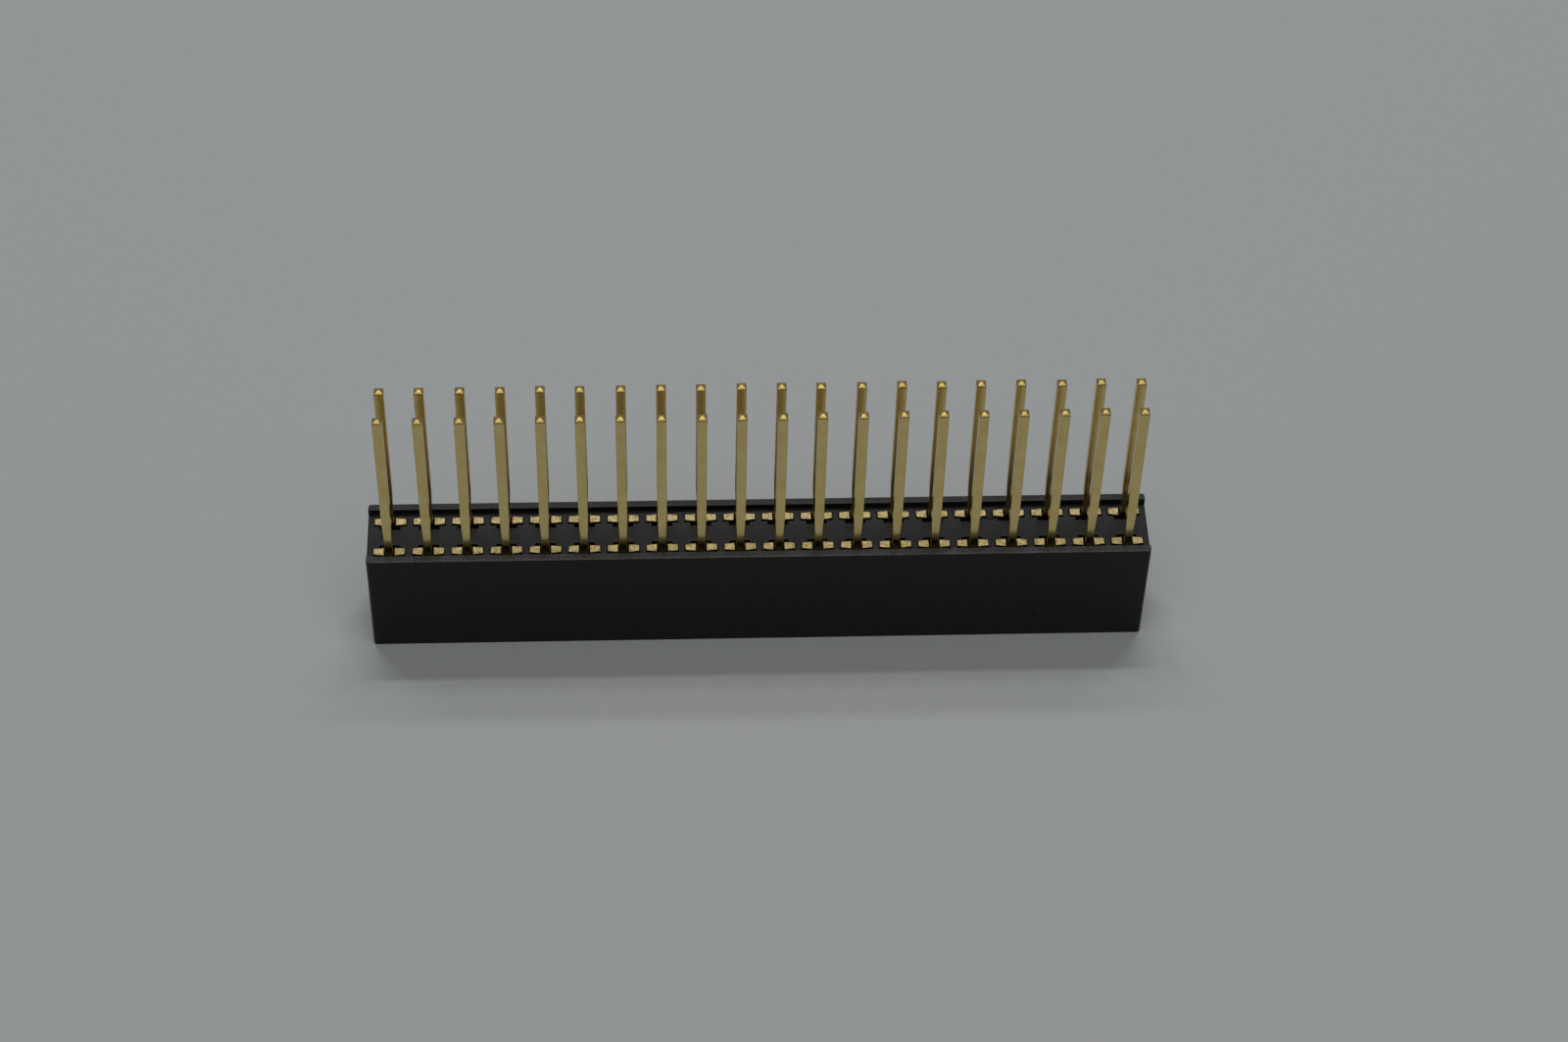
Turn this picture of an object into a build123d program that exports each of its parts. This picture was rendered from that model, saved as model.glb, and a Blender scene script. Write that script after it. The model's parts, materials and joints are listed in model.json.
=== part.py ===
from build123d import *
import os

# Stacking female pin header: two rows of twenty socket contacts at 2.54 mm pitch in a moulded
# housing, each contact with a long square tail that stands out of the housing's top.
# All sizes are in millimetres. X runs along the rows, Y across them and +Z out along the tails.
# The origin is the centre of the mating face, the flat underside that the header stands on.

# Contact grid
PITCH = 2.54
COLUMNS = 20
ROW_Y = PITCH / 2

# Housing
END_MARGIN = 0.20                      # added to twenty pitches, over both ends
HOUSING_LENGTH = COLUMNS * PITCH + 2 * END_MARGIN
HOUSING_WIDTH = 5.0
HOUSING_HEIGHT = 8.5
RIM_WIDTH = 0.53                       # the two long rims that seat on the circuit board
CHANNEL_DEPTH = 0.45                   # from the rims' tops down to the channel's floor
FLOOR_Z = HOUSING_HEIGHT - CHANNEL_DEPTH
CORNER_RADIUS = 0.22                   # upright corners
EDGE_RADIUS = 0.07                     # outer edges, along the rims and the underside
FLOOR_END_CHAMFER = 0.12

# Openings in the channel's floor
SLOT_LENGTH = 2.14                     # along X, round the shoulders
SLOT_WIDTH = 0.66
SLOT_DEEP_LENGTH = 1.80                # below the seat, round the tines
NOTCH_LENGTH = 1.33                    # relief on the side that faces the other row
NOTCH_REACH = 0.61                     # from the row's line to the notch's far wall
NOTCH_BOTTOM_Z = 6.2

# Sockets in the mating face
MOUTH_SIZE = 1.50
THROAT_SIZE = 0.90
FUNNEL_TOP_Z = 0.75
CAVITY_BOTTOM_Z = 1.45
PASSAGE_TOP_Z = 6.60                   # room for the end of the pin that is plugged in

# Contact: a stamped fork with its tail
STOCK = 0.60                           # strip thickness, along Y
SHOULDER_EDGE = 0.45                   # the strip is coined thinner at its outer edges
SEAT_Z = 6.90                          # underside of the yoke, on the housing's step
SHOULDER_Z = 8.15                      # tops of the two shoulders, just proud of the floor
SHOULDER_HALF = 1.02
BARB_HALF = SLOT_LENGTH / 2            # the barbs bear on the slot's end walls
BARB_TOP_Z = 7.40
BARB_FLAT_Z = 7.25                     # the barb's bearing flat ends here and its lead-in begins
BARB_START_Z = 7.05
RELIEF_HALF = 0.36                     # clear slots each side of the tail's root
RELIEF_BOTTOM_Z = 7.20
TINE_HALF = 0.80
TINE_TIP_HALF = 0.64
TINE_TIP_Z = 1.60
TINE_TAPER_Z = 3.20
CROTCH_HALF = 0.36
CROTCH_Z = 6.25                        # centre of the crotch's round end
GRIP_HALF = 0.26                       # grips a 0.64 mm square pin
GRIP_TOP_Z = 3.60
GRIP_Z = 2.50
ENTRY_HALF = 0.44

# Tail: a square pin with a neck above its root and a blunt, rounded-over tip
TAIL_WIDTH = 0.62
NECK_WIDTH = 0.50
TAIL_EDGE_RADIUS = 0.03
NECK_LOW_Z = 9.60
NECK_HIGH_Z = 11.30
ROUNDING_Z = 20.72                     # the tip's rounding starts here
TIP_Z = 20.92
TIP_LEVELS = ((20.80, 0.57), (20.87, 0.40), (TIP_Z, 0.15))     # height and width up the rounding


def prism_z(face, low_z, high_z):
    """Stand a flat face, drawn on the XY plane, between two heights."""
    return Pos(0, 0, low_z) * extrude(face, amount=high_z - low_z)


def housing_block():
    """The housing's outside: a rounded block with an open-ended channel between two long rims."""
    block = prism_z(Rectangle(HOUSING_LENGTH, HOUSING_WIDTH), 0, HOUSING_HEIGHT)
    block = fillet(block.edges().filter_by(Axis.Z), CORNER_RADIUS)
    underside, top = block.faces().sort_by(Axis.Z)[0], block.faces().sort_by(Axis.Z)[-1]
    block = fillet(underside.edges() + top.edges(), EDGE_RADIUS)

    channel_face = Rectangle(2 * HOUSING_LENGTH, HOUSING_WIDTH - 2 * RIM_WIDTH)
    block = block - prism_z(channel_face, FLOOR_Z, HOUSING_HEIGHT + 1)
    floor_ends = block.edges().filter_by(Axis.Y).filter_by_position(Axis.Z, FLOOR_Z - 0.01, FLOOR_Z + 0.01)
    return chamfer(floor_ends, FLOOR_END_CHAMFER)


def contact_cavity():
    """All that is cut away for one front-row contact, about the contact's own axis."""
    slot = prism_z(Rectangle(SLOT_LENGTH, SLOT_WIDTH), SEAT_Z, HOUSING_HEIGHT)
    tine_room = prism_z(Rectangle(SLOT_DEEP_LENGTH, SLOT_WIDTH), CAVITY_BOTTOM_Z, SEAT_Z)
    notch_face = Rectangle(NOTCH_LENGTH, NOTCH_REACH, align=(Align.CENTER, Align.MIN))
    notch = prism_z(notch_face, NOTCH_BOTTOM_Z, HOUSING_HEIGHT)
    passage = prism_z(Rectangle(THROAT_SIZE, THROAT_SIZE), FUNNEL_TOP_Z, PASSAGE_TOP_Z)
    mouth_rim = Rectangle(MOUTH_SIZE, MOUTH_SIZE)
    mouth_throat = Pos(0, 0, FUNNEL_TOP_Z) * Rectangle(THROAT_SIZE, THROAT_SIZE)
    funnel = loft([mouth_rim, mouth_throat])
    return slot + tine_room + notch + passage + funnel


def housing():
    """The moulded housing: the block with one cavity for each contact."""
    cavity = contact_cavity()
    return housing_block() - [place * cavity for place in contact_places().values()]


def fork_outline():
    """The stamped fork's flat outline on the XZ plane, without the tail."""
    with BuildSketch(Plane.XZ) as outline:
        with BuildLine():
            crotch_top = (0, CROTCH_Z + CROTCH_HALF)
            Polyline((0, RELIEF_BOTTOM_Z), (RELIEF_HALF, RELIEF_BOTTOM_Z), (RELIEF_HALF, SHOULDER_Z),
                     (SHOULDER_HALF, SHOULDER_Z), (SHOULDER_HALF, BARB_TOP_Z), (BARB_HALF, BARB_TOP_Z),
                     (BARB_HALF, BARB_FLAT_Z), (SHOULDER_HALF, BARB_START_Z),
                     (SHOULDER_HALF, SEAT_Z), (TINE_HALF, SEAT_Z), (TINE_HALF, TINE_TAPER_Z),
                     (TINE_TIP_HALF, TINE_TIP_Z), (ENTRY_HALF, TINE_TIP_Z))
            ThreePointArc((ENTRY_HALF, TINE_TIP_Z), (GRIP_HALF, GRIP_Z), (CROTCH_HALF, GRIP_TOP_Z))
            Line((CROTCH_HALF, GRIP_TOP_Z), (CROTCH_HALF, CROTCH_Z))
            RadiusArc((CROTCH_HALF, CROTCH_Z), crotch_top, -CROTCH_HALF)
            Line(crotch_top, (0, RELIEF_BOTTOM_Z))
        make_face()
        mirror(about=Plane.YZ)
    return outline.sketch


def fork():
    """The fork, full thickness beside the tail and coined thinner to its outer edges."""
    blank = extrude(fork_outline(), amount=STOCK / 2, both=True)
    edge, full = SHOULDER_EDGE / 2, STOCK / 2
    coined = Polygon((-BARB_HALF, -edge), (-RELIEF_HALF, -full), (RELIEF_HALF, -full), (BARB_HALF, -edge),
                     (BARB_HALF, edge), (RELIEF_HALF, full), (-RELIEF_HALF, full), (-BARB_HALF, edge), align=None)
    return blank & prism_z(coined, 0, HOUSING_HEIGHT)


def tail():
    """The square tail: root, neck, shank and rounded-over tip."""
    root_z = (RELIEF_BOTTOM_Z + CROTCH_Z + CROTCH_HALF) / 2
    root_section = RectangleRounded(NECK_WIDTH, STOCK, TAIL_EDGE_RADIUS)
    shank_section = RectangleRounded(TAIL_WIDTH, STOCK, TAIL_EDGE_RADIUS)
    root = prism_z(root_section, root_z, NECK_LOW_Z)
    neck = loft([Pos(0, 0, NECK_LOW_Z) * root_section, Pos(0, 0, NECK_HIGH_Z) * shank_section])
    shank = prism_z(shank_section, NECK_HIGH_Z, ROUNDING_Z)
    sections = [Pos(0, 0, ROUNDING_Z) * shank_section]
    sections += [Pos(0, 0, z) * RectangleRounded(width, width, TAIL_EDGE_RADIUS) for z, width in TIP_LEVELS]
    tip = loft(sections, ruled=True)
    return root + neck + shank + tip


def contact_places():
    """Each contact's node name and place: row a in front, row b turned to face it."""
    places = {}
    for column in range(COLUMNS):
        x = (column - (COLUMNS - 1) / 2) * PITCH
        places[f"contact_a{column + 1:02d}"] = Pos(x, -ROW_Y, 0)
        places[f"contact_b{column + 1:02d}"] = Pos(x, ROW_Y, 0) * Rot(0, 0, 180)
    return places


def main():
    """Write the housing and the forty contacts, one STEP file each."""
    os.makedirs("parts", exist_ok=True)
    export_step(housing(), "parts/housing.step")
    contact = fork() + tail()
    for name, place in contact_places().items():
        export_step(place * contact, f"parts/{name}.step")


main()
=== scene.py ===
"""Looks of a stacking female pin header: a black moulded housing and forty gold-plated contacts.

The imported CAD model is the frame. The housing and every contact are made again here with fine edges
and finished surfaces, each in the place of its CAD node. Lengths in the classes are millimetres.
"""

import json
import logging
import math
import random
from dataclasses import dataclass
from enum import Enum

import bmesh
import bpy
from mathutils import Matrix, Vector

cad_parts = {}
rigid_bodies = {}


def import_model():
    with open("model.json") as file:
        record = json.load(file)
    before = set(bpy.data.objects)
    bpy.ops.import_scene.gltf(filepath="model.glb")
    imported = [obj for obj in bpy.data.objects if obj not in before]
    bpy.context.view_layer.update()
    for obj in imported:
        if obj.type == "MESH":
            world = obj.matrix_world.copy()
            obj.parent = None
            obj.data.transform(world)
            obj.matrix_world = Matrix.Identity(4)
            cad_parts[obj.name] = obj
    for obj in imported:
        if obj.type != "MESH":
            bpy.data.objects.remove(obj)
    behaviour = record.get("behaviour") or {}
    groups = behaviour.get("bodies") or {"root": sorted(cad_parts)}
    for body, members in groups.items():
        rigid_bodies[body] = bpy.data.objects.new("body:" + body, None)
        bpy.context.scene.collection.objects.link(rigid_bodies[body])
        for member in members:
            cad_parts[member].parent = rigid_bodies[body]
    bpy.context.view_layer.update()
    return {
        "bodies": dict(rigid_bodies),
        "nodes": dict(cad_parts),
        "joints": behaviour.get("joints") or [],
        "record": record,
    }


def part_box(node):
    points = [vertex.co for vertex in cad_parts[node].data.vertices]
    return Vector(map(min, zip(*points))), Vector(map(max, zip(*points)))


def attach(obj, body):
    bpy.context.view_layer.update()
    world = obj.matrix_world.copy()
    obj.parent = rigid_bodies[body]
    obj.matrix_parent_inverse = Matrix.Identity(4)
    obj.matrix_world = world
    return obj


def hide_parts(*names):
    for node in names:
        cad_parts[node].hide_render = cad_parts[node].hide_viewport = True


MM = 0.001
SAME_POINT = 1e-5      # millimetres within which two points are one
CLEARANCE = 1e-3       # millimetres by which a height is told from the one beside it
FACING = 0.75          # a face faces an axis when its normal has more than this along it
LOG = logging.getLogger("pin_header")


class Surface(Enum):
    """How a face of a contact was made, which is also its place in the contact's list of materials."""

    ROLLED = 0
    SLIT = 1
    SHEARED = 2
    COINED = 3


def srgb(code: str) -> tuple[float, float, float, float]:
    """Turn a colour as written on a screen into the linear values that shaders take.

    Args:
        code: Six hex digits, red, green and blue.

    Returns:
        Linear red, green, blue and an alpha of 1.
    """
    channels = [int(code[i:i + 2], 16) / 255 for i in (0, 2, 4)]
    linear = [c / 12.92 if c <= 0.04045 else ((c + 0.055) / 1.055) ** 2.4 for c in channels]
    return (*linear, 1.0)


def add_node(tree: bpy.types.NodeTree, kind: str, inputs: dict | None = None,
             **settings: object) -> bpy.types.Node:
    """Add one node with its settings, values and links.

    Args:
        tree: The node tree that gets the node.
        kind: The node's type, such as ShaderNodeMath.
        inputs: Socket name or number to a value, or to the output socket that feeds it.
        settings: Attributes of the node itself, such as operation.

    Returns:
        The new node.
    """
    node = tree.nodes.new(kind)
    for name, value in settings.items():
        setattr(node, name, value)
    for key, value in (inputs or {}).items():
        socket = node.inputs[key]
        if isinstance(value, bpy.types.NodeSocket):
            tree.links.new(value, socket)
        else:
            socket.default_value = value
    return node


def blank_material(name: str) -> tuple[bpy.types.Material, bpy.types.NodeTree]:
    """Make a material with an empty node tree.

    Args:
        name: The material's name.

    Returns:
        The material and its node tree.
    """
    material = bpy.data.materials.new(name)
    material.use_nodes = True
    material.node_tree.nodes.clear()
    return material, material.node_tree


def ramp(tree: bpy.types.NodeTree, value: bpy.types.NodeSocket, low: float, high: float,
         to_low: float = 0.0, to_high: float = 1.0) -> bpy.types.NodeSocket:
    """Carry a value from one range to another, held at both ends.

    Args:
        tree: The node tree.
        value: The socket that gives the value.
        low: Value that becomes to_low.
        high: Value that becomes to_high.
        to_low: Result at low.
        to_high: Result at high.

    Returns:
        The socket of the result.
    """
    node = add_node(tree, "ShaderNodeMapRange", {"Value": value, "From Min": low, "From Max": high,
                                                 "To Min": to_low, "To Max": to_high})
    return node.outputs["Result"]


@dataclass(frozen=True)
class MouldedPlastic:
    """Glass-filled thermoplastic moulded against a spark-eroded tool.

    The tool leaves a fine matt grain, whose pits hide part of the sheen, and glass fibres near the surface
    show as faint paler dots. Upward faces look dark grey, as the grain scatters the sheen, and upright faces
    look nearly black. The rim tops are painted paler, as painted light with some wear: most along their
    outer edges, where it stands for a highlight, and on the front rim, where it lifts the pins' shadow.
    Handling leaves tiny specks.
    """

    name: str = "moulded_black_thermoplastic"

    # Colours of the plastic, of the fibres in it, of the painted light and wear on its rims and of the
    # specks on it
    colour: str = "080808"
    fibre_colour: str = "1f1f21"
    rim_light_and_wear_colour: str = "5c5b59"
    speck_colour: str = "8c8a86"

    # Sheen of the skin, which varies over the grain and, more slowly, over the moulding
    roughness: float = 0.38
    grain_roughness: float = 0.08
    cloud_roughness: float = 0.03
    ior: float = 1.50
    sheen: float = 0.22

    # Spark-eroded grain, and the slow clouding of wear and sheen
    grain_mm: float = 0.09
    grain_height_mm: float = 0.020
    cloud_mm: float = 1.6

    # Specks: one in a small share of the cells of a random pattern
    speck_cell_mm: float = 1.1
    speck_radius_mm: float = 0.045
    speck_rarity: float = 0.93

    # Where the rims are, how far their painted light and wear reach, and how strong they are in each part of
    # them; the rear rim gets less, as the pins don't shade it
    rim_top_z: float = 8.5
    half_width: float = 2.5
    rim_light_depth_mm: float = 0.06
    rim_light_reach_mm: float = 0.16
    flat_light_and_wear: float = 0.30
    edge_light_and_wear: float = 0.62
    rear_light_and_wear: float = 0.35

    def material(self) -> bpy.types.Material:
        """Build the material.

        Returns:
            The finished material.
        """
        material, tree = blank_material(self.name)
        point = add_node(tree, "ShaderNodeTexCoord").outputs["Object"]
        grain = add_node(tree, "ShaderNodeTexNoise", {"Vector": point, "Scale": 1 / (self.grain_mm * MM),
                                                      "Detail": 3.0, "Roughness": 0.6})
        cloud = add_node(tree, "ShaderNodeTexNoise", {"Vector": point, "Scale": 1 / (self.cloud_mm * MM),
                                                      "Detail": 4.0, "Roughness": 0.55})
        rough = add_node(tree, "ShaderNodeMath", {
            0: ramp(tree, grain.outputs["Fac"], 0.35, 0.65,
                    self.roughness - self.grain_roughness, self.roughness + self.grain_roughness),
            1: ramp(tree, cloud.outputs["Fac"], 0.3, 0.7, -self.cloud_roughness, self.cloud_roughness)},
            operation="ADD")
        dotted = add_node(tree, "ShaderNodeMix", {
            "Factor": ramp(tree, grain.outputs["Fac"], 0.48, 0.66), "A": srgb(self.colour),
            "B": srgb(self.fibre_colour)}, data_type="RGBA")
        # The rim tops are painted paler here: painted light, with some wear
        base = add_node(tree, "ShaderNodeMix", {
            "Factor": self.rim_light_and_wear(tree, point, cloud.outputs["Fac"], grain.outputs["Fac"]),
            "A": dotted.outputs["Result"], "B": srgb(self.rim_light_and_wear_colour)}, data_type="RGBA")
        flecked = add_node(tree, "ShaderNodeMix", {
            "Factor": self.specks(tree, point), "A": base.outputs["Result"], "B": srgb(self.speck_colour)},
            data_type="RGBA")
        bump = add_node(tree, "ShaderNodeBump", {"Strength": 1.0, "Distance": self.grain_height_mm * MM,
                                                 "Height": grain.outputs["Fac"]})
        shader = add_node(tree, "ShaderNodeBsdfPrincipled", {
            "Base Color": flecked.outputs["Result"], "Roughness": rough.outputs["Value"], "IOR": self.ior,
            "Specular IOR Level": self.sheen, "Normal": bump.outputs["Normal"]})
        add_node(tree, "ShaderNodeOutputMaterial", {"Surface": shader.outputs["BSDF"]})
        return material

    def rim_light_and_wear(self, tree: bpy.types.NodeTree, point: bpy.types.NodeSocket, cloud: bpy.types.NodeSocket,
               grain: bpy.types.NodeSocket) -> bpy.types.NodeSocket:
        """Mask the rims' painted light and wear, strongest along their outer edges and on the front rim.

        Args:
            tree: The node tree.
            point: Object coordinates.
            cloud: A slow noise that breaks the painted light and wear up.
            grain: The surface's own grain, whose peaks take the most of it.

        Returns:
            The mask, 1 where the rim is fully painted paler.
        """
        axes = add_node(tree, "ShaderNodeSeparateXYZ", {"Vector": point})
        side = add_node(tree, "ShaderNodeMath", {0: axes.outputs["Y"]}, operation="ABSOLUTE")
        # Painted highlight, with some wear, along the rims' outer edges
        outer = ramp(tree, side.outputs["Value"], (self.half_width - self.rim_light_reach_mm) * MM,
                     (self.half_width - 0.4 * self.rim_light_reach_mm) * MM, self.flat_light_and_wear, self.edge_light_and_wear)
        # Painted light: the front rim is made lighter, against the shadow that the pins cast on it
        front = ramp(tree, axes.outputs["Y"], -0.1 * MM, 0.1 * MM, 1.0, self.rear_light_and_wear)
        near_top = ramp(tree, axes.outputs["Z"], (self.rim_top_z - self.rim_light_depth_mm) * MM,
                        (self.rim_top_z - 0.3 * self.rim_light_depth_mm) * MM)
        patchy = ramp(tree, cloud, 0.35, 0.65, 0.6, 1.2)
        peaks = ramp(tree, grain, 0.44, 0.64, 0.45, 1.8)
        mask = near_top
        for share in (outer, front, patchy, peaks):
            product = add_node(tree, "ShaderNodeMath", {0: mask, 1: share}, operation="MULTIPLY")
            mask = product.outputs["Value"]
        return mask

    def specks(self, tree: bpy.types.NodeTree, point: bpy.types.NodeSocket) -> bpy.types.NodeSocket:
        """Mask a few scattered pale specks that handling leaves.

        Args:
            tree: The node tree.
            point: Object coordinates.

        Returns:
            The mask, 1 in a speck.
        """
        cells = add_node(tree, "ShaderNodeTexVoronoi", {"Vector": point,
                                                        "Scale": 1 / (self.speck_cell_mm * MM)})
        reach = self.speck_radius_mm / self.speck_cell_mm
        inside = ramp(tree, cells.outputs["Distance"], reach, 0.6 * reach)
        chosen = add_node(tree, "ShaderNodeSeparateColor", {"Color": cells.outputs["Color"]})
        rare = ramp(tree, chosen.outputs["Red"], self.speck_rarity, self.speck_rarity + 0.01)
        both = add_node(tree, "ShaderNodeMath", {0: inside, 1: rare}, operation="MULTIPLY")
        return both.outputs["Value"]


@dataclass(frozen=True)
class GoldPlate:
    """Thin bright gold plating, which follows the surface of the bronze strip under it.

    The plating drifts slowly between two tints, the haze, and its sheen follows the strip's grain, whose
    sizes are given along X, Y and Z: rolling and slitting draw it out along the tail.
    """

    name: str
    colour: str
    deep_colour: str
    roughness: float
    roughness_spread: float
    grain_mm: tuple[float, float, float]
    grain_height_mm: float
    haze_mm: float

    def material(self) -> bpy.types.Material:
        """Build the material.

        Returns:
            The finished material.
        """
        material, tree = blank_material(self.name)
        point = add_node(tree, "ShaderNodeTexCoord").outputs["Object"]
        stretch = tuple(1 / (size * MM) for size in self.grain_mm)
        along = add_node(tree, "ShaderNodeMapping", {"Vector": point, "Scale": stretch})
        grain = add_node(tree, "ShaderNodeTexNoise", {"Vector": along.outputs["Vector"], "Scale": 1.0,
                                                      "Detail": 3.0, "Roughness": 0.55})
        haze = add_node(tree, "ShaderNodeTexNoise", {"Vector": point, "Scale": 1 / (self.haze_mm * MM),
                                                     "Detail": 2.0, "Roughness": 0.5})
        spread = self.roughness_spread
        rough = ramp(tree, grain.outputs["Fac"], 0.3, 0.7, self.roughness - spread, self.roughness + spread)
        tint = add_node(tree, "ShaderNodeMix", {
            "Factor": ramp(tree, haze.outputs["Fac"], 0.35, 0.7), "A": srgb(self.colour),
            "B": srgb(self.deep_colour)}, data_type="RGBA")
        bump = add_node(tree, "ShaderNodeBump", {"Strength": 1.0, "Distance": self.grain_height_mm * MM,
                                                 "Height": grain.outputs["Fac"]})
        shader = add_node(tree, "ShaderNodeBsdfPrincipled", {
            "Base Color": tint.outputs["Result"], "Metallic": 1.0, "Roughness": rough,
            "Normal": bump.outputs["Normal"]})
        add_node(tree, "ShaderNodeOutputMaterial", {"Surface": shader.outputs["BSDF"]})
        return material


GOLD_FINISHES = {
    # A rolled face mirrors its surroundings, with faint lines along the strip.
    Surface.ROLLED: GoldPlate(
        name="gold_plate_on_rolled_strip", colour="e0cc8b", deep_colour="d8c07b",
        roughness=0.22, roughness_spread=0.03,
        grain_mm=(0.06, 0.06, 4.0), grain_height_mm=0.0003, haze_mm=0.9),
    # A slit face has stronger and shorter lines, dragged by the die, and a slightly deeper tint.
    Surface.SLIT: GoldPlate(
        name="gold_plate_on_slit_edge", colour="dcc582", deep_colour="cfb16a",
        roughness=0.22, roughness_spread=0.04,
        grain_mm=(0.05, 0.05, 2.0), grain_height_mm=0.0006, haze_mm=0.9),
    # A sheared face is torn and grainy, so it scatters the light and is mottled with brown.
    Surface.SHEARED: GoldPlate(
        name="gold_plate_on_sheared_end", colour="bdab7c", deep_colour="685838",
        roughness=0.42, roughness_spread=0.12,
        grain_mm=(0.05, 0.05, 0.05), grain_height_mm=0.0160, haze_mm=0.10),
    # A coined tip is pressed smooth by the tool that rounds it, so it holds one soft spot of light.
    Surface.COINED: GoldPlate(
        name="gold_plate_on_coined_tip", colour="a9935a", deep_colour="967e4a",
        roughness=0.38, roughness_spread=0.04,
        grain_mm=(0.20, 0.20, 0.20), grain_height_mm=0.0006, haze_mm=0.30),
}


def make_piece(bm: bmesh.types.BMesh, name: str, materials: list[bpy.types.Material],
               sharp_degrees: float) -> bpy.types.Object:
    """Turn a finished bmesh, in metres, into an object at the origin with clean shading.

    Args:
        bm: The geometry. It is freed.
        name: The piece's name.
        materials: The piece's materials, in the order of its faces' material numbers.
        sharp_degrees: Edges that turn by more than this stay crisp.

    Returns:
        The new object.
    """
    mesh = bpy.data.meshes.new(name)
    bm.to_mesh(mesh)
    bm.free()
    for material in materials:
        mesh.materials.append(material)
    mesh.polygons.foreach_set("use_smooth", [True] * len(mesh.polygons))
    mesh.set_sharp_from_angle(angle=math.radians(sharp_degrees))
    piece = bpy.data.objects.new(name, mesh)
    bpy.context.scene.collection.objects.link(piece)
    weighted = piece.modifiers.new("flat_faces_stay_flat", "WEIGHTED_NORMAL")
    weighted.keep_sharp = True
    return piece


@dataclass
class Housing:
    """The one-piece moulding, finished from a merged copy of the CAD node's mesh."""

    node: str = "housing"
    edge_radius: float = 0.025
    edge_turn_degrees: float = 50.0
    flat_turn_degrees: float = 0.5
    merge_distance: float = 0.0005

    def build(self, frame: dict) -> bpy.types.Object:
        """Make the moulding with every crisp edge slightly rounded, as a moulding's are.


        Returns:
            The piece.
        """
        bm = bmesh.new()
        bm.from_mesh(frame["nodes"][self.node].data)
        bmesh.ops.remove_doubles(bm, verts=bm.verts, dist=self.merge_distance * MM)
        bmesh.ops.dissolve_limit(bm, angle_limit=math.radians(self.flat_turn_degrees), verts=bm.verts,
                                 edges=bm.edges)
        turn = math.radians(self.edge_turn_degrees)
        crisp = [e for e in bm.edges if e.is_manifold and e.calc_face_angle(0.0) > turn]
        bmesh.ops.bevel(bm, geom=crisp, offset=self.edge_radius * MM, offset_type="OFFSET", segments=2,
                        profile=0.5, affect="EDGES", clamp_overlap=True, material=-1)
        for face in bm.faces:
            face.material_index = 0
        piece = make_piece(bm, "housing_moulding", [MouldedPlastic().material()], 35.0)
        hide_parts(self.node)
        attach(piece, "root")
        return piece


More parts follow.
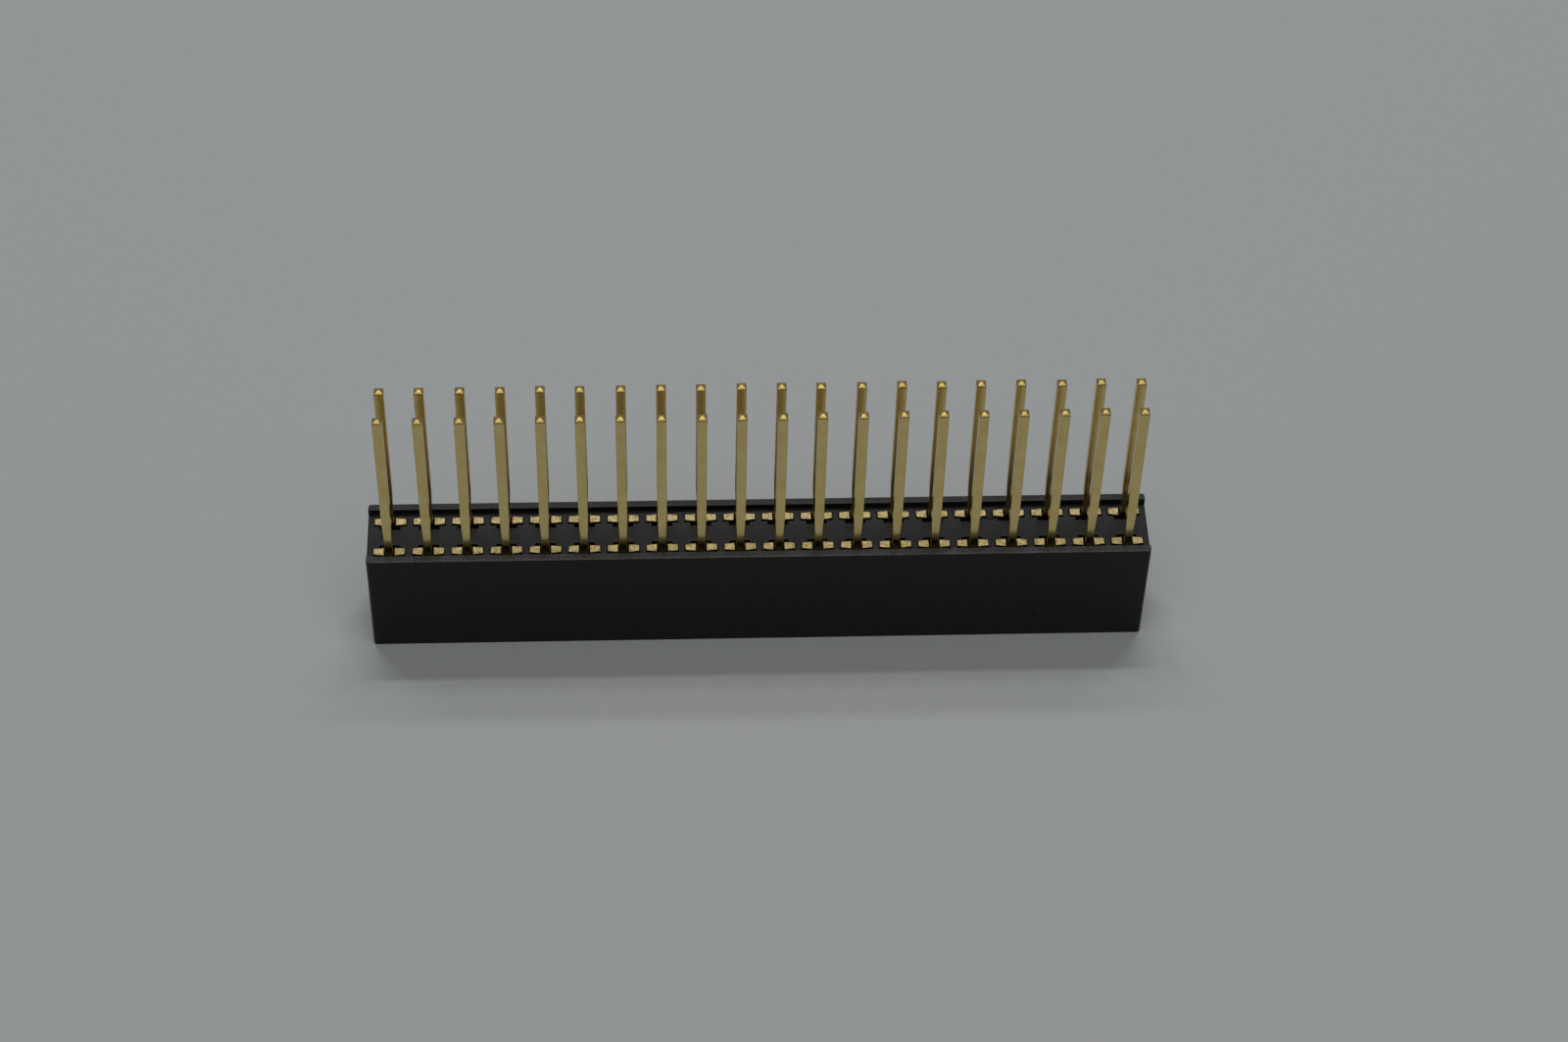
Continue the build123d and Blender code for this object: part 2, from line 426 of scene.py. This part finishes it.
@dataclass
class Contact:
    """One stamped and plated contact: a fork with two shoulders and a long square tail.

    Heights, named z, are above the mating face. Halves are measured from the tail's axis.
    """

    node: str

    # Strip: its full thickness, and the thickness that its outer edges are coined to
    stock: float = 0.60
    coined: float = 0.45

    # Yoke: shoulders, the barbs' top, flat and lead-in, the seat, and the slits beside the tail's root
    shoulder_z: float = 8.15
    shoulder_half: float = 1.02
    barb_zs: tuple[float, float, float] = (7.40, 7.25, 7.05)
    barb_half: float = 1.07
    seat_z: float = 6.90
    relief_z: float = 7.20
    relief_half: float = 0.36

    # Tines: outer sides, then the crotch, grip and entry between them, from the top down
    tine_half: float = 0.80
    tine_taper_z: float = 3.20
    tine_tip_z: float = 1.60
    tine_tip_half: float = 0.64
    crotch_z: float = 6.25
    crotch_half: float = 0.36
    grip_zs: tuple[float, float] = (3.60, 2.50)
    grip_half: float = 0.26
    entry_half: float = 0.44

    # Tail: the height above which it stands alone, the neck, the shank and the levels of the tip
    tail_alone_z: float = 8.25
    neck_zs: tuple[float, float] = (9.60, 11.30)
    neck_half: float = 0.25
    tail_half: float = 0.31
    tip_zs: tuple[float, float, float, float] = (20.72, 20.80, 20.87, 20.92)
    tip_halves: tuple[float, float, float] = (0.285, 0.20, 0.075)

    # Edges that are rounded, and the least turn of each, in radians
    tail_edge_radius: float = 0.03
    tail_edge_turn: float = 0.25
    stamped_edge_radius: float = 0.018
    stamped_edge_turn: float = 0.7

    # How far the tip leans along X and Y
    lean: tuple[float, float] = (0.0, 0.0)

    def half_outline(self) -> list[tuple[float, float]]:
        """Trace the right half of the fork's flat outline.

        Returns:
            Points in X and Z, from the root of the tail round to the middle of the crotch.
        """
        barb_top, barb_flat, barb_start = self.barb_zs
        grip_top, grip = self.grip_zs
        entry = self.tine_tip_z
        points = [(0, self.relief_z), (self.neck_half, self.relief_z), (self.relief_half, self.relief_z),
                  (self.relief_half, self.shoulder_z), (self.shoulder_half, self.shoulder_z),
                  (self.shoulder_half, barb_top), (self.barb_half, barb_top), (self.barb_half, barb_flat),
                  (self.shoulder_half, barb_start), (self.shoulder_half, self.seat_z),
                  (self.tine_half, self.seat_z), (self.tine_half, self.tine_taper_z),
                  (self.tine_tip_half, entry), (self.entry_half, entry)]
        steps = 6
        for i in range(1, steps):
            share = i / steps
            points.append((self.grip_half + (self.entry_half - self.grip_half) * (1 - share) ** 2,
                           entry + (grip - entry) * share))
        for i in range(steps + 1):
            share = i / steps
            points.append((self.grip_half + (self.crotch_half - self.grip_half) * share ** 2,
                           grip + (grip_top - grip) * share))
        for i in range(steps + 1):
            angle = math.pi / 2 * i / steps
            points.append((self.crotch_half * math.cos(angle),
                           self.crotch_z + self.crotch_half * math.sin(angle)))
        return points

    def fork(self) -> bmesh.types.BMesh:
        """Stamp the fork: its outline, thickness, coined edges and mirrored half.

        Returns:
            The fork's geometry, in millimetres about the tail's axis.
        """
        bm = bmesh.new()
        corners = [bm.verts.new((x, -self.stock / 2, z)) for x, z in self.half_outline()]
        face = bm.faces.new(corners)
        made = bmesh.ops.extrude_face_region(bm, geom=[face], use_keep_orig=True)
        far = [v for v in made["geom"] if isinstance(v, bmesh.types.BMVert)]
        bmesh.ops.translate(bm, verts=far, vec=(0, self.stock, 0))
        middle = [f for f in bm.faces if all(abs(v.co.x) < SAME_POINT for v in f.verts)]
        bmesh.ops.delete(bm, geom=middle, context="FACES_ONLY")
        bmesh.ops.bisect_plane(bm, geom=bm.verts[:] + bm.edges[:] + bm.faces[:], dist=1e-6,
                               plane_co=(self.relief_half, 0, 0), plane_no=(1, 0, 0))
        slope = (self.stock - self.coined) / 2 / (self.barb_half - self.relief_half)
        for vert in bm.verts:
            thin = slope * max(0.0, vert.co.x - self.relief_half)
            vert.co.y -= math.copysign(thin, vert.co.y)
        bmesh.ops.mirror(bm, geom=bm.verts[:] + bm.edges[:] + bm.faces[:], axis="X",
                         merge_dist=SAME_POINT)
        bmesh.ops.remove_doubles(bm, verts=bm.verts, dist=SAME_POINT)
        bmesh.ops.recalc_face_normals(bm, faces=bm.faces)
        return bm

    def grow_tail(self, bm: bmesh.types.BMesh) -> None:
        """Draw the tail up from between the shoulders: root, neck, shank and rounded-over tip.

        Args:
            bm: The fork's geometry, which gets the tail.
        """
        top = [f for f in bm.faces if f.normal.z > FACING and abs(f.calc_center_median().x) < self.neck_half
               and abs(f.calc_center_median().z - self.relief_z) < CLEARANCE]
        low, high = self.neck_zs
        middle = (low + high) / 2
        half_stock = self.stock / 2
        levels = [(low, self.neck_half, half_stock),
                  (middle, (self.neck_half + self.tail_half) / 2, half_stock),
                  (high, self.tail_half, half_stock),
                  (self.tip_zs[0], self.tail_half, half_stock)]
        levels += [(z, half, half) for z, half in zip(self.tip_zs[1:], self.tip_halves)]
        for z, half_x, half_y in levels:
            made = bmesh.ops.extrude_face_region(bm, geom=top)
            bmesh.ops.delete(bm, geom=[f for f in top if f.is_valid], context="FACES_ONLY")
            top = [f for f in made["geom"] if isinstance(f, bmesh.types.BMFace)]
            for vert in {v for f in top for v in f.verts}:
                side = 0.0 if abs(vert.co.x) < SAME_POINT else math.copysign(half_x, vert.co.x)
                vert.co = (side, math.copysign(half_y, vert.co.y), z)
        bmesh.ops.dissolve_limit(bm, angle_limit=math.radians(0.2), verts=bm.verts, edges=bm.edges)

    def round_edges(self, bm: bmesh.types.BMesh) -> None:
        """Round the tail's drawn edges and, much less, the fork's stamped ones.

        Args:
            bm: The contact's geometry.
        """
        tail = [e for e in bm.edges if min(v.co.z for v in e.verts) > self.relief_z - CLEARANCE
                and max(v.co.z for v in e.verts) > self.tail_alone_z
                and e.calc_face_angle(0.0) > self.tail_edge_turn]
        bmesh.ops.bevel(bm, geom=tail, offset=self.tail_edge_radius, offset_type="OFFSET", segments=3,
                        profile=0.5, affect="EDGES", clamp_overlap=True, material=-1)
        stamped = [e for e in bm.edges if max(v.co.z for v in e.verts) < self.shoulder_z + CLEARANCE
                   and e.is_manifold and e.calc_face_angle(0.0) > self.stamped_edge_turn]
        bmesh.ops.bevel(bm, geom=stamped, offset=self.stamped_edge_radius, offset_type="OFFSET", segments=1,
                        profile=0.5, affect="EDGES", clamp_overlap=True, material=-1)

    def sort_surfaces(self, bm: bmesh.types.BMesh) -> None:
        """Give each face the finish of the way it was made.

        Args:
            bm: The contact's geometry.
        """
        bm.normal_update()
        for face in bm.faces:
            height = face.calc_center_median().z
            on_tail = height > self.tail_alone_z
            if height > self.tip_zs[0] + CLEARANCE:
                surface = Surface.COINED
            elif abs(face.normal.y) > FACING or (on_tail and abs(face.normal.x) < FACING):
                surface = Surface.ROLLED
            elif on_tail:
                surface = Surface.SLIT
            else:
                surface = Surface.SHEARED
            face.material_index = surface.value

    def build(self, finishes: list[bpy.types.Material]) -> bpy.types.Object:
        """Make the contact in its CAD node's place.

        Args:
            finishes: One material for each Surface.

        Returns:
            The piece.
        """
        bm = self.fork()
        self.grow_tail(bm)
        self.round_edges(bm)
        self.sort_surfaces(bm)
        for vert in bm.verts:
            rise = max(0.0, vert.co.z - self.shoulder_z) / (self.tip_zs[-1] - self.shoulder_z)
            vert.co.x += self.lean[0] * rise
            vert.co.y += self.lean[1] * rise
        low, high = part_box(self.node)
        turn = Matrix.Rotation(math.pi if low.y > 0 else 0.0, 4, "Z")
        place = Matrix.Translation(((low.x + high.x) / 2, (low.y + high.y) / 2, 0))
        bmesh.ops.transform(bm, matrix=place @ turn @ Matrix.Scale(MM, 4), verts=bm.verts)
        piece = make_piece(bm, f"{self.node}_plated", finishes, 40.0)
        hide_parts(self.node)
        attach(piece, "root")
        return piece


@dataclass
class ContactRows:
    """The forty contacts, each leaning by a few hundredths of a millimetre of its own."""

    seed: int = 40
    lean_mm: float = 0.035

    def build(self, frame: dict) -> list[bpy.types.Object]:
        """Make every contact.


        Returns:
            The pieces, in the order of their nodes' names.
        """
        finishes = [GOLD_FINISHES[surface].material() for surface in Surface]
        chance = random.Random(self.seed)
        pieces = []
        for node in sorted(n for n in frame["nodes"] if n.startswith("contact_")):
            lean_x = chance.uniform(-self.lean_mm, self.lean_mm)
            lean_y = chance.uniform(-self.lean_mm, self.lean_mm)
            pieces.append(Contact(node, lean=(lean_x, lean_y)).build(finishes))
        return pieces


@dataclass
class Studio:
    """A pale table under soft light: a long lamp above and behind, and a broad one in front.

    The long lamp casts the header's near shadow, with an edge for the housing and one for each row of
    tails. The broad one fills it. The table is 8 metres wide, so that its edges stay out of sight.
    """

    floor_colour: str = "9fa2a3"
    floor_roughness: float = 0.75
    floor_size: float = 8.0
    backdrop: str = "9ea2a2"
    ambient: float = 0.11

    def build(self) -> None:
        """Set up the colour view, the floor, the world and the lamps."""
        bpy.context.scene.view_settings.view_transform = "Standard"
        self.add_floor()
        self.add_world()
        self.add_lamp("strip_above", elevation=70.2, azimuth=180, distance=1.2, size=(0.7, 0.05), power=5.9)
        self.add_lamp("broad_front", elevation=72, azimuth=0, distance=1.5, size=(1.6, 1.0), power=8.6)

    def add_floor(self) -> None:
        """Lay the plain matt table top that the header stands on."""
        material, tree = blank_material("matt_pale_table")
        shader = add_node(tree, "ShaderNodeBsdfPrincipled", {
            "Base Color": srgb(self.floor_colour), "Roughness": self.floor_roughness})
        add_node(tree, "ShaderNodeOutputMaterial", {"Surface": shader.outputs["BSDF"]})
        bm = bmesh.new()
        bmesh.ops.create_grid(bm, x_segments=1, y_segments=1, size=self.floor_size / 2)
        mesh = bpy.data.meshes.new("table_top")
        bm.to_mesh(mesh)
        bm.free()
        mesh.materials.append(material)
        floor = bpy.data.objects.new("table_top", mesh)
        bpy.context.scene.collection.objects.link(floor)

    def add_world(self) -> None:
        """Light the room evenly, and show a plain backdrop to the camera and to mirrors."""
        world = bpy.data.worlds.new("plain_room")
        bpy.context.scene.world = world
        world.use_nodes = True
        tree = world.node_tree
        tree.nodes.clear()
        room = add_node(tree, "ShaderNodeBackground", {"Color": (1, 1, 1, 1), "Strength": self.ambient})
        backdrop = add_node(tree, "ShaderNodeBackground", {"Color": srgb(self.backdrop), "Strength": 1.0})
        path = add_node(tree, "ShaderNodeLightPath")
        seen = add_node(tree, "ShaderNodeMath", {0: path.outputs["Is Camera Ray"],
                                                 1: path.outputs["Is Glossy Ray"]}, operation="ADD")
        seen = add_node(tree, "ShaderNodeMath", {0: seen.outputs["Value"],
                                                 1: path.outputs["Is Transmission Ray"]},
                        operation="ADD", use_clamp=True)
        mix = add_node(tree, "ShaderNodeMixShader", {0: seen.outputs["Value"], 1: room.outputs["Background"],
                                                     2: backdrop.outputs["Background"]})
        add_node(tree, "ShaderNodeOutputWorld", {"Surface": mix.outputs["Shader"]})

    def add_lamp(self, name: str, elevation: float, azimuth: float, distance: float,
                 size: tuple[float, float], power: float) -> None:
        """Hang one rectangular lamp that faces the header, its long side along the rows.

        Args:
            name: The lamp's name.
            elevation: Height above the horizon, in degrees.
            azimuth: Direction round the header, in degrees; 0 is the front and 180 behind.
            distance: Distance from the header, in metres.
            size: Length and width, in metres.
            power: Power, in watts.
        """
        light = bpy.data.lights.new(name, "AREA")
        light.shape = "RECTANGLE"
        light.size, light.size_y = size
        light.energy = power
        lamp = bpy.data.objects.new(name, light)
        toward = direction(azimuth, elevation)
        lamp.location = toward * distance
        lamp.rotation_mode = "QUATERNION"
        lamp.rotation_quaternion = toward.to_track_quat("Z", "Y")
        bpy.context.scene.collection.objects.link(lamp)


def direction(azimuth: float, elevation: float) -> Vector:
    """Give the unit vector from the header towards a viewer or lamp.

    Args:
        azimuth: Degrees round the header; 0 is the front, on the side of -Y.
        elevation: Degrees above the horizon.

    Returns:
        The unit vector.
    """
    a, e = math.radians(azimuth), math.radians(elevation)
    return Vector((math.sin(a) * math.cos(e), -math.cos(a) * math.cos(e), math.sin(e)))


@dataclass
class Camera:
    """A long lens that looks down on the header from the front.

    Angles are in degrees. The aim, the distance from it, the lens and the sensor's width are in millimetres.
    """

    aim: tuple[float, float, float] = (1.62, 0.0, 9.13)
    azimuth: float = -3.41
    elevation: float = 49.64
    roll: float = 1.75
    distance: float = 238.1
    lens: float = 83.6
    sensor_width: float = 36.0

    def build(self) -> None:
        """Place the camera and make it the scene's."""
        data = bpy.data.cameras.new("bench_camera")
        data.lens = self.lens
        data.sensor_width = self.sensor_width
        data.clip_start, data.clip_end = 0.005, 50.0
        camera = bpy.data.objects.new("bench_camera", data)
        back = direction(self.azimuth, self.elevation)
        camera.location = (Vector(self.aim) + back * self.distance) * MM
        level = back.to_track_quat("Z", "Y")
        camera.rotation_mode = "QUATERNION"
        camera.rotation_quaternion = level @ Matrix.Rotation(math.radians(self.roll), 4, "Z").to_quaternion()
        bpy.context.scene.collection.objects.link(camera)
        bpy.context.scene.camera = camera


def main() -> None:
    """Load the frame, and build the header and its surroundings."""
    logging.basicConfig(level=logging.INFO, format="%(name)s: %(message)s")
    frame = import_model()
    Camera().build()
    Studio().build()
    pieces = [Housing().build(frame), *ContactRows().build(frame)]
    for piece in pieces:
        LOG.info("%s: %d faces", piece.name, len(piece.data.polygons))


if __name__ == "__main__":
    main()
